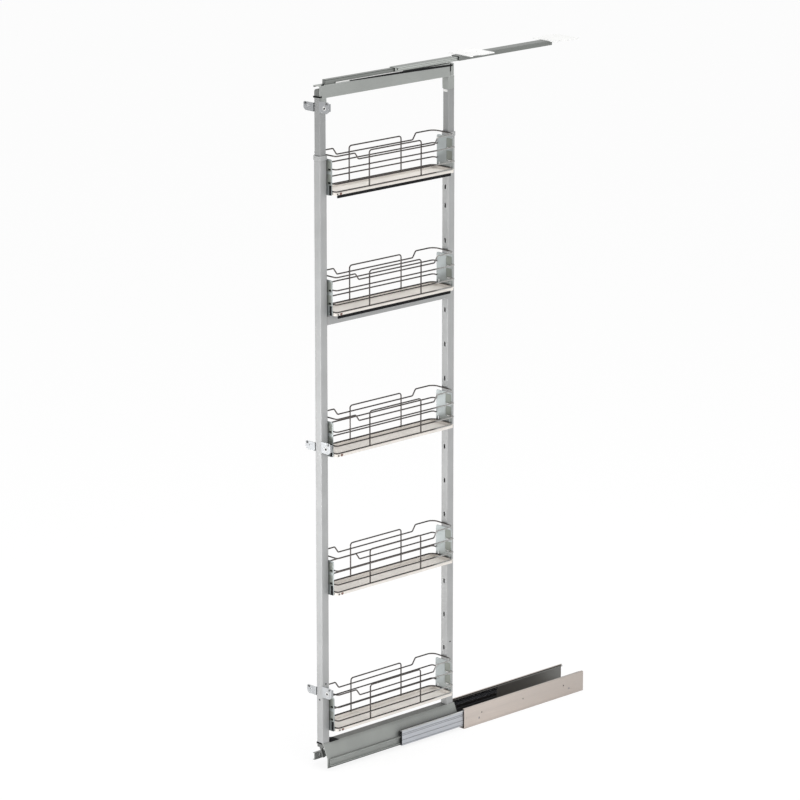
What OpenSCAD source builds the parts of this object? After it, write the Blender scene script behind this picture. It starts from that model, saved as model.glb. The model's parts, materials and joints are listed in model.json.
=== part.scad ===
// Pull-out larder unit, shown pulled out of its cabinet.
// X runs across the unit, Y into the cabinet and Z up.
// The origin is the middle of the floor housing's underside.

/* [Frame] */
// Outer width of the square lower posts
post_w = 25; // [22:0.5:30]
// Wall of the lower and upper post tubes
post_wall = 1.2; // [1:0.1:1.6]
// Outer corner radius of the post tubes
post_corner = 2.2; // [1.8:0.1:3]
// Outside depth of the frame, over both posts
frame_depth = 510; // [460:5:560]
// Height of the underside of the top beam above the cabinet floor
beam_z = 1914; // [1880:1:1960]
// How far the upper tubes stand out of the lower posts
tube_show = 164; // [130:2:180]
// Length of the upper post tube that stays inside the lower post
insertion = 190; // [130:5:240]
// Sliding gap round the upper post tube
tube_gap = 0.3; // [0.2:0.05:0.5]
// Height and outward reach of the clamp collars
collar_h = 12; // [10:1:18]
// Wall of the clamp collars
collar_wall = 2; // [1.5:0.25:3]
// Height of the cross brace
brace_h = 24; // [16:1:26]
// Wall of the cross brace
brace_wall = 1.5; // [1:0.25:2]

/* [Hook slots] */
// Distance between hook slots along a post
slot_pitch = 100; // [92:1:104]
// Height of the lowest hook slot
slot_first = 147; // [142:1:156]
// Height of a hook slot
slot_h = 14; // [13:0.5:16]
// Width of a hook slot
slot_w = 6; // [5:0.5:7]

/* [Baskets] */
// Hook slots from each of the lower four baskets to the next
basket_slots = 4; // [3:1:4]
// Drop from the top of the lower posts to the highest basket's tray
top_basket_drop = 102; // [98:2:140]
// Distance between the centres of the side wires
basket_w = 88; // [80:1:92]
// Height from the tray's underside to the centre of the highest wire
basket_h = 110; // [104:1:120]
// Drop of the top rail between its raised ends
rail_drop = 18; // [12:1:20]
// Height of the middle rail's centre above the tray's underside
rail_mid = 72; // [64:1:78]
// Height of the low rail's centre above the tray's underside
rail_low = 32; // [24:1:40]
// Diameter of the basket wires
wire_d = 4; // [3.5:0.25:4.5]
// Bend radius of the basket wires, at the wire's centre
wire_bend = 9; // [7:0.5:12]
// Depth of the tray
tray_h = 8.5; // [7:0.5:11]
// Sheet of the tray
tray_wall = 1.2; // [0.8:0.1:1.6]
// Width of the end plates
plate_w = 64; // [60:1:70]
// Sheet of the end plates and their hooks
plate_t = 1.5; // [1.2:0.1:1.8]
// Height of the front end plate above the tray's underside
front_plate_h = 99; // [92:1:104]
// Height of the rear end plate above the tray's underside
rear_plate_h = 98; // [92:1:104]
// Gap between an end plate and its post
hang_gap = 0.4; // [0.3:0.05:0.6]

/* [Floor runner] */
// Length of the floor housing
housing_l = 495; // [485:5:515]
// Outside width of the floor housing
housing_w = 93; // [93:0.5:97]
// Height of the floor housing
housing_h = 60; // [60:0.5:64]
// Sheet of the floor housing
housing_t = 1.5; // [1.2:0.1:1.8]
// Clear distance from the front posts' face to the housing, pulled out
front_reach = 523; // [516:1:532]
// Length of the runner's middle members
middle_l = 465; // [440:5:470]
// Height of the runner's middle members
middle_h = 43; // [42:0.5:44]
// Sheet of all runner members
rail_t = 1.2; // [1:0.1:1.4]
// Full travel of the frame
travel = 500; // [480:5:500]
// Diameter of the balls in the floor runner
ball_d = 4; // [3.6:0.1:4]

/* [Carrier] */
// Height of the carrier's top face above the cabinet floor
carrier_top = 76; // [74:1:80]
// Width across the carrier's flared skirts
carrier_w = 64; // [62:0.5:65]
// Height of the crease where the flare turns into the skirt
carrier_crease = 36.5; // [36:0.5:42]
// Sheet of the carrier
carrier_t = 1.5; // [1.2:0.1:1.8]

/* [Top runner] */
// Height of the top beam
beam_h = 35; // [32:1:42]
// Sheet of the top beam
beam_t = 1.5; // [1.2:0.1:2]
// Length of each member of the top runner
upper_l = 368; // [350:1:380]
// Outside width of the top runner's inner member
upper_inner_w = 14; // [13:0.5:15]
// Height of the top runner's inner member
upper_inner_h = 13; // [12:0.5:16]
// Diameter of the balls in the top runner
upper_ball_d = 2.6; // [2.4:0.1:2.8]
// Width of a ceiling plate across the unit
ceiling_w = 96; // [88:1:104]
// Length of a ceiling plate along the runner
ceiling_l = 96; // [90:1:104]
// Sheet of the ceiling plates
ceiling_t = 2; // [1.5:0.25:3]

/* [Door brackets] */
// Distance over the tips of a pair of door brackets
door_w = 100; // [94:1:110]
// Height of the far bracket of a pair
door_h = 24; // [22:1:28]
// How much taller the near bracket of a pair is
door_rise = 8; // [4:1:12]
// Sheet of the door brackets
door_t = 2; // [1.6:0.1:2.4]
// Distance between the door screw holes of a pair
door_hole_gap = 66; // [62:1:72]
// Diameter of the door screw holes
door_hole_d = 5; // [4:0.25:5.5]

/* [Hidden] */

// A hair of overlap, so that cuts run clean past the faces they open
cut = 1;
sink = 0.05;

// Places along Y are measured from the front posts' face, and the whole unit is
// moved so that the floor housing stands over the origin.
front_y = -(front_reach + housing_l / 2);
rear_post_y = frame_depth - post_w;

// Floor runner, from the housing inwards; heights are above the cabinet floor. Pushed in, the
// inner rails stand out of the housing by runner_lead and the middle members sink in by runner_lag.
runner_lead = 15;
runner_lag = 5;
housing_lip = 6;
housing_clear = 0.9;
outer_x = housing_w / 2 - housing_t;
outer_low = housing_t + housing_clear + 1;
outer_high = housing_h - housing_t - housing_clear;
outer_flange = 11;
race_gap = 0.2;
middle_low = (outer_low + outer_high - middle_h) / 2;
middle_high = middle_low + middle_h;
middle_x = outer_x - rail_t - 1;
middle_flange = 8.4;
middle_y = front_reach - travel / 2 + runner_lag;
bay_high = middle_low + 32;
inner_x = carrier_w / 2;
inner_flange = 6;
inner_low = middle_low + rail_t + ball_d + 2 * race_gap;
inner_high = bay_high - rail_t - ball_d - 2 * race_gap;
inner_y = front_reach - travel - runner_lead;
inner_l = middle_l + runner_lead;
skirt_low = 8;
skirt_cut = 64;
foot_depth = 14;
foot_low = 34;
foot_leg = 4;
top_half = post_w / 2 + carrier_t;
floor_hole_x = 18;
floor_hole_y = housing_l / 2 - 40;
floor_hole_d = 5;
side_hole_z = 34;
side_hole_pitch = 170;
side_hole_shift = 6;
side_hole_y = [for (i = [-1, 0, 1]) i * side_hole_pitch - side_hole_shift];
side_hole_d = 4.6;
rivet_z = 20;
rivet_inset = 60;
rivet_y = [for (i = [-1, 1]) i * (housing_l / 2 - rivet_inset)];
rivet_flat = 0.3;
row_l = 180;
row_pitch = 30;

// Posts and beam
post_top = beam_z - tube_show;
tube_in = post_w - 2 * post_wall;
upper_w = tube_in - 2 * tube_gap;
upper_corner = post_corner - post_wall - tube_gap + 0.6;
window_w = 10;
window_l = insertion - 8;
hook_rise = 35;
top_basket = post_top - top_basket_drop;
top_slot = top_basket + hook_rise;
spare_drop = 83;
spare_slot = top_slot - spare_drop;
slot_count = floor((spare_slot - spare_drop / 2 - slot_first) / slot_pitch) + 1;
slot_heights = concat([for (i = [0:slot_count - 1]) slot_first + i * slot_pitch],
                      [spare_slot, top_slot]);
front_hole_z = 204;
side_hole_high = 264;
collar_low = post_top - 6;
collar_out = post_w + 2 * collar_wall;
collar_seat = 6;
collar_tongue = 6;
collar_screw_z = collar_low + 9;
screw_d = 4;

// Baskets
rail_x = basket_w / 2;
wire_r = wire_d / 2;
rail_high = basket_h;
rail_dip = basket_h - rail_drop;
lower_levels = [for (i = [0:3]) slot_first + i * basket_slots * slot_pitch - hook_rise];
basket_levels = concat(lower_levels, [top_basket]);
brace_gap = 5;
brace_low = lower_levels[3] - brace_gap - brace_h;
brace_hole_z = brace_low + brace_h / 2;
rail_edge = tray_h + wire_r;
front_face_y = post_w + hang_gap;
rear_face_y = rear_post_y - hang_gap;
rail_front = front_face_y + plate_t + wire_r;
rail_rear = rear_face_y - plate_t - wire_r;
dip_front = 105;
dip_rear = frame_depth - 104;
loop_front = 157;
loop_rear = frame_depth - loop_front;
hook_w = 0.72 * slot_w;
hook_gap = 0.2 * slot_w;
hook_neck_h = 5;
hook_drop = 6;
window_x = 6;
window_span = plate_w / 2 - 9;
window_low = 28;
window_h = 29;
window_top = 5;

// Top runner
upper_floor = beam_z + beam_h;
upper_inner_y = 28;
upper_middle_y = upper_inner_y + travel / 2 + 4;
upper_cabinet_y = upper_inner_y + travel - 5;
upper_step = upper_ball_d + 2 * race_gap;
upper_middle_w = upper_inner_w + 2 * upper_step + 2 * rail_t;
upper_cabinet_w = upper_middle_w + 2 * upper_step + 2 * rail_t;
upper_middle_low = upper_floor + 4;
upper_gap = 0.8;
upper_middle_high = upper_floor + upper_inner_h + upper_gap + rail_t;
upper_cabinet_high = upper_middle_high + upper_gap + rail_t;
upper_row_l = 84;
upper_row_pitch = 14;
beam_l = frame_depth - 18;
half_beam = post_w / 2;
tube_inset = (post_w - upper_w) / 2;
front_saddle = 12;
rear_saddle = 36;
ceiling_front_y = upper_cabinet_y + 62;
ceiling_lap = 18;
ceiling_rear_y = upper_cabinet_y + upper_l - ceiling_lap + ceiling_l / 2;
rear_rivet_y = ceiling_rear_y - ceiling_l / 2 + ceiling_lap / 2;
ceiling_rivets = [[0, ceiling_front_y - 20], [0, ceiling_front_y + 20],
                  [-7, rear_rivet_y], [7, rear_rivet_y]];
ceiling_hole_x = ceiling_w / 2 - 11;
ceiling_hole_y = ceiling_l / 2 - 12;
ceiling_hole_d = 5;

// Door brackets: heights of the lower edges of the three pairs
door_low = 215;
door_mid = 926;
door_top = beam_z - front_saddle - 1 - door_h;
door_hole_z = 14;
near_h = door_h + door_rise;
bracket_seat = 22;
bracket_return = 6;

steel_light = [0.82, 0.83, 0.84];
steel_grey = [0.66, 0.67, 0.66];
zinc = [0.78, 0.80, 0.83];
nickel = [0.84, 0.80, 0.76];
chrome = [0.88, 0.88, 0.88];
tray_grey = [0.87, 0.86, 0.84];
plate_grey = [0.66, 0.70, 0.71];
dark = [0.22, 0.22, 0.22];

// ---- shapes used by several pieces ----

module frame_place() { translate([0, front_y, 0]) children(); }

// Extrudes an X-Z profile along Y, from y0 over a length
module along_y(y0, length) {
    translate([0, y0 + length, 0]) rotate([90, 0, 0]) linear_extrude(length) children();
}

// The same profile drawn on +X and mirrored to -X when side is -1
module on_side(side) { if (side > 0) children(); else mirror([1, 0, 0]) children(); }

module block(x0, x1, y0, y1, z0, z1) {
    translate([x0, y0, z0]) cube([x1 - x0, y1 - y0, z1 - z0]);
}

// A rectangle with rounded corners, centred
module round_rect(w, d, r) {
    square([w - 2 * r, d], center = true);
    square([w, d - 2 * r], center = true);
    for (x = [-1, 1], y = [-1, 1])
        translate([x * (w / 2 - r), y * (d / 2 - r)]) circle(r, $fn = 32);
}

// A slot with round ends, standing on the X axis direction
module stadium(length, width) {
    square([length - width, width], center = true);
    for (x = [-1, 1]) translate([x * (length - width) / 2, 0]) circle(d = width, $fn = 24);
}

function unit(v) = v / norm(v);
// A round bar from a to b
module bar(a, b, r) {
    u = unit(b - a);
    s = abs(u[2]) > 0.9 ? [1, 0, 0] : [0, 0, 1];
    p = unit(cross(s, u));
    q = cross(u, p);
    multmatrix([[p[0], q[0], u[0], a[0]], [p[1], q[1], u[1], a[1]],
                [p[2], q[2], u[2], a[2]], [0, 0, 0, 1]])
        cylinder(r = r, h = norm(b - a), $fn = 16);
}

// A square bend at corner c, between a run arriving along u and a run leaving along v
module bend(c, u, v, bend_r, r) {
    centre = c + (v - u) * bend_r;
    w = cross(-v, u);
    multmatrix([[-v[0], u[0], w[0], centre[0]], [-v[1], u[1], w[1], centre[1]],
                [-v[2], u[2], w[2], centre[2]], [0, 0, 0, 1]])
        rotate_extrude(angle = 90, $fn = 32) translate([bend_r, 0]) circle(r, $fn = 16);
}

// A wire through points, with a bend at each inner point; closed joins its ends. A bend takes
// at most half of the shorter run beside it, so two bends in a short run make one smooth step.
module wire(points, r, bend_r, closed = false) {
    count = len(points);
    last = closed ? count - 1 : count - 2;
    function at(i) = points[(i + count) % count];
    function bent(i) = closed || (i > 0 && i < count - 1);
    function radius(i) = !bent(i) ? 0
        : min(bend_r, norm(at(i) - at(i - 1)) / 2, norm(at(i + 1) - at(i)) / 2);
    for (i = [0:last]) {
        u = unit(at(i + 1) - at(i));
        from = at(i) + u * radius(i);
        to = at(i + 1) - u * radius((i + 1) % count);
        if (norm(to - from) > sink) bar(from, to, r);
        if (bent(i)) bend(at(i), unit(at(i) - at(i - 1)), u, radius(i), r);
    }
}

// ---- floor runner ----

module lower_housing() color(nickel) {
    lip_z = housing_h - housing_t;
    half = housing_w / 2;
    difference() {
        along_y(-housing_l / 2, housing_l) {
            translate([-half, 0]) square([housing_w, housing_t]);
            for (side = [0, 1]) mirror([side, 0]) {
                translate([half - housing_t, 0]) square([housing_t, housing_h - housing_t]);
                translate([half - housing_lip, lip_z]) square([housing_lip - housing_t, housing_t]);
                intersection() {
                    translate([half - housing_t, lip_z]) circle(housing_t, $fn = 24);
                    translate([half - housing_t, lip_z]) square(housing_t);
                }
            }
        }
        for (x = [-1, 1], y = [-1, 1])
            translate([x * floor_hole_x, y * floor_hole_y, -cut])
                cylinder(d = floor_hole_d, h = housing_t + 2 * cut, $fn = 32);
        for (y = side_hole_y) translate([0, y, side_hole_z]) rotate([0, 90, 0])
            cylinder(d = side_hole_d, h = housing_w + 2 * cut, center = true, $fn = 24);
        for (y = rivet_y) translate([0, y, rivet_z]) rotate([0, 90, 0])
            cylinder(r = 2, h = housing_w + 2 * cut, center = true, $fn = 24);
        translate([0, -housing_l / 2 + 10, side_hole_z - 3]) rotate([0, 90, 0])
            cylinder(d = 2.4, h = housing_w + 2 * cut, center = true, $fn = 24);
    }
}

// Rivets that hold each outer rail to the housing's side plate
module housing_rivets() color(chrome)
    for (side = [-1, 1], y = rivet_y)
        on_side(side) translate([outer_x - rail_t - rivet_flat, y, rivet_z]) rotate([0, 90, 0]) {
            cylinder(r = 2, h = rail_t + housing_t + rivet_flat, $fn = 24);
            cylinder(r = 3.4, h = rivet_flat, $fn = 24);
            translate([0, 0, rail_t + rivet_flat + housing_t]) intersection() {
                translate([0, 0, -4.6]) sphere(r = 5.6, $fn = 32);
                cylinder(r = 3.2, h = 2, $fn = 24);
            }
        }

module lower_outer_rail(side) color(zinc) difference() {
    along_y(-housing_l / 2 + 4, housing_l - 8) mirror([side > 0 ? 0 : 1, 0]) {
        translate([outer_x - rail_t, outer_low]) square([rail_t, outer_high - outer_low]);
        translate([outer_x - outer_flange, outer_low]) square([outer_flange, rail_t]);
        translate([outer_x - outer_flange, outer_high - rail_t]) square([outer_flange, rail_t]);
    }
    for (y = rivet_y) translate([0, y, rivet_z]) rotate([0, 90, 0])
        cylinder(r = 2, h = housing_w, center = true, $fn = 24);
}

// The middle member: three inward flanges on a ribbed web
module lower_middle_rail(side) color(zinc)
    frame_place() along_y(middle_y, middle_l) mirror([side > 0 ? 0 : 1, 0]) {
        translate([middle_x - rail_t, middle_low]) square([rail_t, middle_h]);
        for (z = [middle_low, bay_high - rail_t, middle_high - rail_t])
            translate([middle_x - middle_flange, z]) square([middle_flange, rail_t]);
        for (z = [middle_low + 4, middle_low + 17, middle_high - 8])
            translate([middle_x, z]) intersection() {
                circle(0.7, $fn = 24);
                translate([0, -1]) square(2);
            }
    }

// Balls in their strips, between the members of each side
module lower_ball_rows() color(chrome) frame_place()
    for (side = [-1, 1]) on_side(side) {
        inner_row_x = inner_x + rail_t + inner_flange - 2.6;
        outer_row_x = middle_x - 4.2;
        for (z = [inner_low - race_gap - ball_d / 2, inner_high + race_gap + ball_d / 2])
            ball_row(inner_row_x, middle_y + 14, z);
        for (z = [middle_low - race_gap - ball_d / 2, middle_high + race_gap + ball_d / 2])
            ball_row(outer_row_x, front_reach + 14, z);
    }
module ball_row(x, y0, z) {
    block(x - 1.9, x + 1.9, y0, y0 + row_l, z - 0.4, z + 0.4);
    for (i = [0:row_l / row_pitch - 1])
        translate([x, y0 + row_pitch * (i + 0.5), z]) sphere(d = ball_d, $fn = 24);
}

// ---- carrier ----

module carrier_side(from, length) along_y(from, length) {
    half = carrier_w / 2;
    polygon([[top_half, carrier_top], [half, carrier_crease], [half, skirt_low],
             [half - carrier_t, skirt_low], [half - carrier_t, carrier_crease - 0.4],
             [top_half - carrier_t - 0.6, carrier_top - carrier_t],
             [0, carrier_top - carrier_t], [0, carrier_top]]);
}
module carrier() color(steel_grey) frame_place() {
    carrier_side(0, frame_depth + 3);
    mirror([1, 0, 0]) difference() {
        carrier_side(0, frame_depth + 3);
        block(top_half, carrier_w, -cut, skirt_cut, 0, carrier_top + cut);
    }
}

// Foot in the carrier's open front end, with two crossed legs
module front_foot() color(steel_grey) frame_place() {
    roof = carrier_top - carrier_t;
    inside = top_half - carrier_t - 1;
    block(-inside, inside, 1, 1 + foot_depth, roof - 12, roof);
    along_y(3, foot_depth / 2) for (s = [-1, 1])
        polygon([[s * foot_leg + 2, roof - 10], [s * foot_leg - 2, roof - 10],
                 [-s * 2 * foot_leg - 2, foot_low], [-s * 2 * foot_leg + 2, foot_low]]);
}

module lower_inner_rail(side) color(zinc)
    frame_place() along_y(inner_y, inner_l) mirror([side > 0 ? 0 : 1, 0]) {
        translate([inner_x, inner_low]) square([rail_t, inner_high - inner_low]);
        for (z = [inner_low, inner_high - rail_t])
            translate([inner_x, z]) square([rail_t + inner_flange, rail_t]);
    }

// ---- posts ----

// A slot through a wall that faces along Y, centred on a depth and a height
module hook_slot(y, depth, z) {
    translate([0, y + depth / 2, z]) rotate([90, 0, 0]) linear_extrude(depth)
        rotate(90) stadium(slot_h, slot_w);
}

// A screw hole through both side walls of a tube
module cross_hole(z) {
    translate([0, 0, z]) rotate([0, 90, 0])
        cylinder(d = screw_d, h = post_w + 2 * cut, center = true, $fn = 24);
}

module tube(width, wall, corner, z0, z1) {
    translate([0, 0, z0]) linear_extrude(z1 - z0) difference() {
        round_rect(width, width, corner);
        round_rect(width - 2 * wall, width - 2 * wall, max(corner - wall, 0.4));
    }
}

// inward is 1 where the slots face the rear and -1 where they face the front
module lower_post(y0, inward) color(steel_light) frame_place()
    translate([0, y0 + post_w / 2, 0]) difference() {
        tube(post_w, post_wall, post_corner, carrier_top, post_top);
        for (z = slot_heights) hook_slot(inward * (post_w - post_wall) / 2, post_wall + 2 * cut, z);
        if (inward > 0) for (z = [door_low, door_mid]) cross_hole(z + door_hole_z);
        if (inward < 0) cross_hole(side_hole_high);
        if (inward > 0) translate([0, -post_w / 2, front_hole_z]) rotate([90, 0, 0])
            cylinder(d = screw_d, h = 2 * post_wall + 2 * cut, center = true, $fn = 24);
        translate([0, inward * post_w / 2, brace_hole_z]) rotate([90, 0, 0])
            cylinder(d = screw_d, h = 2 * post_wall + 2 * cut, center = true, $fn = 24);
    }

// The upper tube; its window lets the highest basket's hooks pass as the height changes
module post_extension(y0, inward) color(steel_light) frame_place()
    translate([0, y0 + post_w / 2, 0]) difference() {
        tube(upper_w, post_wall, upper_corner, post_top - insertion, beam_z);
        translate([-window_w / 2, inward * upper_w / 2 - 2 * post_wall, post_top - insertion - cut])
            cube([window_w, 4 * post_wall, window_l + cut]);
        if (inward > 0) cross_hole(door_top + door_hole_z);
    }

// Clamp collar, flush with the post on the side where the baskets lift
module collar(y0, inward) color(steel_light) frame_place()
    translate([0, y0 + post_w / 2, collar_low]) difference() {
        union() {
            linear_extrude(collar_h) round_rect(collar_out, collar_out, post_corner + collar_wall);
            translate([-collar_out / 2 - collar_tongue, -4, 1])
                cube([collar_tongue + 2, 8, collar_h - 2]);
        }
        translate([-collar_out, inward > 0 ? post_w / 2 : -post_w / 2 - collar_out, -cut])
            cube([2 * collar_out, collar_out, collar_h + 2 * cut]);
        translate([0, 0, -cut]) linear_extrude(collar_seat + cut)
            round_rect(post_w + 0.1, post_w + 0.1, post_corner);
        translate([0, 0, -cut]) linear_extrude(collar_h + 2 * cut)
            round_rect(upper_w + 0.6, upper_w + 0.6, upper_corner + 0.3);
        translate([0, 0, collar_screw_z - collar_low]) rotate([0, -90, 0])
            cylinder(r = 1.6, h = collar_out, $fn = 24);
    }

module collar_screws() color(chrome) frame_place()
    for (y0 = [0, rear_post_y])
        translate([0, y0 + post_w / 2, collar_screw_z]) rotate([0, -90, 0]) {
            translate([0, 0, upper_w / 2 + 0.35])
                cylinder(r = 1.5, h = collar_out / 2 + collar_tongue - upper_w / 2, $fn = 24);
            translate([0, 0, collar_out / 2 + collar_tongue]) cylinder(r = 2.8, h = 2.2, $fn = 24);
        }

// ---- cross brace ----

module cross_brace() color(steel_light) frame_place() {
    from = post_w;
    length = rear_post_y - post_w;
    half = post_w / 2;
    translate([0, 0, brace_low]) difference() {
        union() {
            along_y(from, length) {
                translate([-half, brace_h - brace_wall]) square([post_w, brace_wall]);
                for (s = [0, 1]) mirror([s, 0]) translate([half - brace_wall, 0])
                    square([brace_wall, brace_h]);
            }
            block(-half, half, from, from + brace_wall, 0, brace_h);
            block(-half, half, rear_post_y - brace_wall, rear_post_y, 0, brace_h);
        }
        translate([0, 0, brace_h / 2]) for (y = [from, rear_post_y]) translate([0, y, 0])
            rotate([90, 0, 0]) cylinder(d = screw_d, h = 4 * brace_wall, center = true, $fn = 24);
    }
}

// A pan-head screw standing on its head's seat, shank towards -Z
module pan_screw(shank_l, head_r, head_h) {
    translate([0, 0, -shank_l]) cylinder(d = screw_d, h = shank_l, $fn = 24);
    intersection() {
        cylinder(r = head_r, h = head_h, $fn = 24);
        translate([0, 0, head_h - 1.6 * head_r]) sphere(r = 1.6 * head_r, $fn = 32);
    }
}

module brace_screws() color(chrome) frame_place() translate([0, 0, brace_hole_z]) {
    translate([0, post_w + brace_wall, 0]) rotate([-90, 0, 0]) pan_screw(8, 4, 2.4);
    translate([0, rear_post_y - brace_wall, 0]) rotate([90, 0, 0]) pan_screw(8, 4, 2.4);
}

// ---- top beam ----

module top_beam() color(steel_grey) frame_place() {
    along_y(0, beam_l) {
        translate([half_beam - beam_t, beam_z]) square([beam_t, beam_h]);
        translate([-half_beam, beam_z + beam_h - beam_t]) square([post_w, beam_t]);
        translate([-half_beam, beam_z + beam_h - 5]) square([beam_t, 5]);
    }
    block(-half_beam, half_beam, 0, beam_l + 13, beam_z, beam_z + beam_t);
}

// Dark moulded stop in the beam's open front end
module beam_front_stop() color(dark) frame_place() along_y(1, 17)
    translate([0, beam_z + beam_t]) difference() {
        translate([-10, 0]) square([19, 24]);
        difference() {
            translate([-10 - cut, 24 - 8]) square([8 + cut, 8 + cut]);
            translate([-2, 24 - 8]) circle(8, $fn = 32);
        }
    }

// Saddles that join the beam to the upper tubes: a web across the tube and two cheeks
module beam_saddle(web_y, tube_y, drop) {
    half = upper_w / 2;
    for (s = [-1, 1]) on_side(s)
        block(half, half + beam_t, min(web_y, tube_y), max(web_y + beam_t, tube_y + upper_w - 2),
              beam_z - drop, beam_z);
    block(-half - beam_t, half + beam_t, web_y, web_y + beam_t, beam_z - drop, beam_z);
}
module beam_front_bracket() color(steel_grey) frame_place()
    beam_saddle(tube_inset + upper_w, tube_inset + 2, front_saddle);
module beam_rear_bracket() color(steel_grey) frame_place()
    beam_saddle(rear_post_y + tube_inset - beam_t, rear_post_y + tube_inset, rear_saddle);

// Upright plate that closes the beam's rear end
module beam_end_plate() color(steel_grey) frame_place() {
    back = beam_l + 2;
    block(half_beam - beam_t, half_beam, back, back + 11, beam_z + beam_t, upper_floor);
    block(-half_beam, half_beam, back + 11 - beam_t, back + 11, beam_z + beam_t, upper_floor);
}

// ---- top runner ----

// An inverted channel, with inward lips where lip is more than 0
module channel_down(width, low, high, lip) {
    half = width / 2;
    translate([-half, high - rail_t]) square([width, rail_t]);
    for (s = [0, 1]) mirror([s, 0]) {
        translate([half - rail_t, low]) square([rail_t, high - low]);
        translate([half - rail_t - lip, low]) square([lip + rail_t, rail_t]);
    }
}

module upper_inner_rail() color(zinc) frame_place() along_y(upper_inner_y, upper_l)
    channel_down(upper_inner_w, upper_floor, upper_floor + upper_inner_h, 2);

module upper_middle_rail() color(zinc) frame_place() {
    along_y(upper_middle_y, upper_l)
        channel_down(upper_middle_w, upper_middle_low, upper_middle_high, 0);
    for (s = [-1, 1]) on_side(s)
        translate([upper_middle_w / 2 - sink, upper_middle_y + 8, upper_middle_low + 6])
            rotate([0, 90, 0]) cylinder(r = 1.6, h = 0.8, $fn = 24);
}

module upper_cabinet_rail() color(zinc) frame_place() difference() {
    along_y(upper_cabinet_y, upper_l)
        channel_down(upper_cabinet_w, upper_middle_low, upper_cabinet_high, upper_step - 1);
    ceiling_rivet_holes();
}

module upper_ball_rows() color(chrome) frame_place() for (s = [-1, 1]) on_side(s) {
    upper_ball_row(upper_inner_w / 2 + upper_step / 2, upper_middle_y + 12, upper_middle_low + 5);
    upper_ball_row(upper_middle_w / 2 + upper_step / 2, upper_cabinet_y + 6, upper_middle_low + 5);
}
module upper_ball_row(x, y0, z) {
    block(x - 0.35, x + 0.35, y0, y0 + upper_row_l, z - 1.8, z + 1.8);
    for (i = [0:upper_row_l / upper_row_pitch - 1])
        translate([x, y0 + upper_row_pitch * (i + 0.5), z]) sphere(d = upper_ball_d, $fn = 24);
}

// ---- ceiling plates ----

module ceiling_plate(y) color([0.95, 0.95, 0.94]) frame_place()
    difference() {
        translate([0, y, upper_cabinet_high]) linear_extrude(ceiling_t) difference() {
            round_rect(ceiling_w, ceiling_l, 7);
            for (s = [0, 1]) mirror([s, 0]) translate([ceiling_w / 2, -ceiling_l / 4])
                rotate(90) stadium(ceiling_l / 3, ceiling_w / 6);
            for (x = [-1, 1], v = [-1, 1])
                translate([x * ceiling_hole_x, v * ceiling_hole_y])
                    circle(d = ceiling_hole_d, $fn = 32);
        }
        ceiling_rivet_holes();
    }

module ceiling_rivet_holes()
    for (p = ceiling_rivets) translate([p[0], p[1], upper_cabinet_high])
        cylinder(d = 4, h = 8, center = true, $fn = 24);

module ceiling_plate_rivets() color(chrome) frame_place()
    for (p = ceiling_rivets) translate([p[0], p[1], upper_cabinet_high - rail_t]) {
        cylinder(d = 4, h = rail_t + ceiling_t, $fn = 24);
        translate([0, 0, -0.5]) cylinder(r = 3, h = 0.5, $fn = 24);
    }

// ---- door brackets ----

// One bracket on the +X side of a tube of half width half, with its lower edge at z
module door_bracket(half, z, high) color(steel_light) frame_place() translate([0, 0, z]) {
    tip = door_w / 2;
    difference() {
        union() {
            rotate([90, 0, 0]) linear_extrude(door_t) polygon([[half, 0], [tip - 8, 0], [tip, 6],
                [tip, high - 3], [tip - 3, high], [half, high]]);
            block(half, half + door_t, -door_t, bracket_seat, 0, door_h);
            block(tip - door_t, tip, -door_t, bracket_return, 7, high - 4);
        }
        translate([door_hole_gap / 2, 0, door_hole_z]) rotate([90, 0, 0])
            cylinder(d = door_hole_d, h = 3 * door_t, center = true, $fn = 32);
        translate([half, post_w / 2, door_hole_z]) rotate([0, 90, 0])
            cylinder(d = screw_d, h = 3 * door_t, center = true, $fn = 24);
        translate([tip - 8, 0, high - 5]) rotate([90, 0, 0])
            cylinder(d = screw_d / 2, h = 3 * door_t, center = true, $fn = 24);
    }
}

// The seat screw of one bracket, and the small locking screw near its tip
module bracket_screws(half, z, high) frame_place() translate([0, 0, z]) {
    translate([half + door_t, post_w / 2, door_hole_z]) rotate([0, 90, 0]) pan_screw(6, 3.8, 2.2);
    translate([door_w / 2 - 8, -door_t, high - 5]) rotate([90, 0, 0]) {
        cylinder(r = 2.6, h = 2, $fn = 24);
        translate([0, 0, -door_t]) cylinder(d = screw_d / 2, h = door_t, $fn = 24);
    }
}
// A near and a far bracket's screws, for a pair whose lower edge is at z
module pair_screws(half, z) {
    bracket_screws(half, z, near_h);
    mirror([1, 0, 0]) bracket_screws(half, z, door_h);
}

module door_bracket_screws() color(chrome)
    for (z = [door_low, door_mid]) pair_screws(post_w / 2, z);
module door_bracket_top_screws() color(chrome) pair_screws(upper_w / 2, door_top);

// ---- baskets ----

function loop(x, y0, y1, z) = [[x, y0, z], [x, y1, z], [-x, y1, z], [-x, y0, z]];
function rail_side(x) = [
    [x, rail_front, rail_high], [x, dip_front, rail_high], [x, dip_front, rail_dip],
    [x, dip_rear, rail_dip], [x, dip_rear, rail_high], [x, rail_rear, rail_high]];
function reversed(list) = [for (i = [len(list) - 1:-1:0]) list[i]];

module basket_wires(level) color(chrome) frame_place() translate([0, 0, level]) {
    wire(concat(rail_side(rail_x), reversed(rail_side(-rail_x))), wire_r, wire_bend, closed = true);
    for (z = [rail_edge, rail_low, rail_mid])
        wire(loop(rail_x, rail_front, rail_rear, z), wire_r, wire_bend, closed = true);
    x = rail_x - wire_d + 0.6;
    for (s = [-1, 1])
        wire([[s * x, loop_front, tray_h + 0.3], [s * x, loop_front, rail_high],
              [s * x, loop_rear, rail_high], [s * x, loop_rear, tray_h + 0.3]], wire_r, wire_bend);
}

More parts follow.
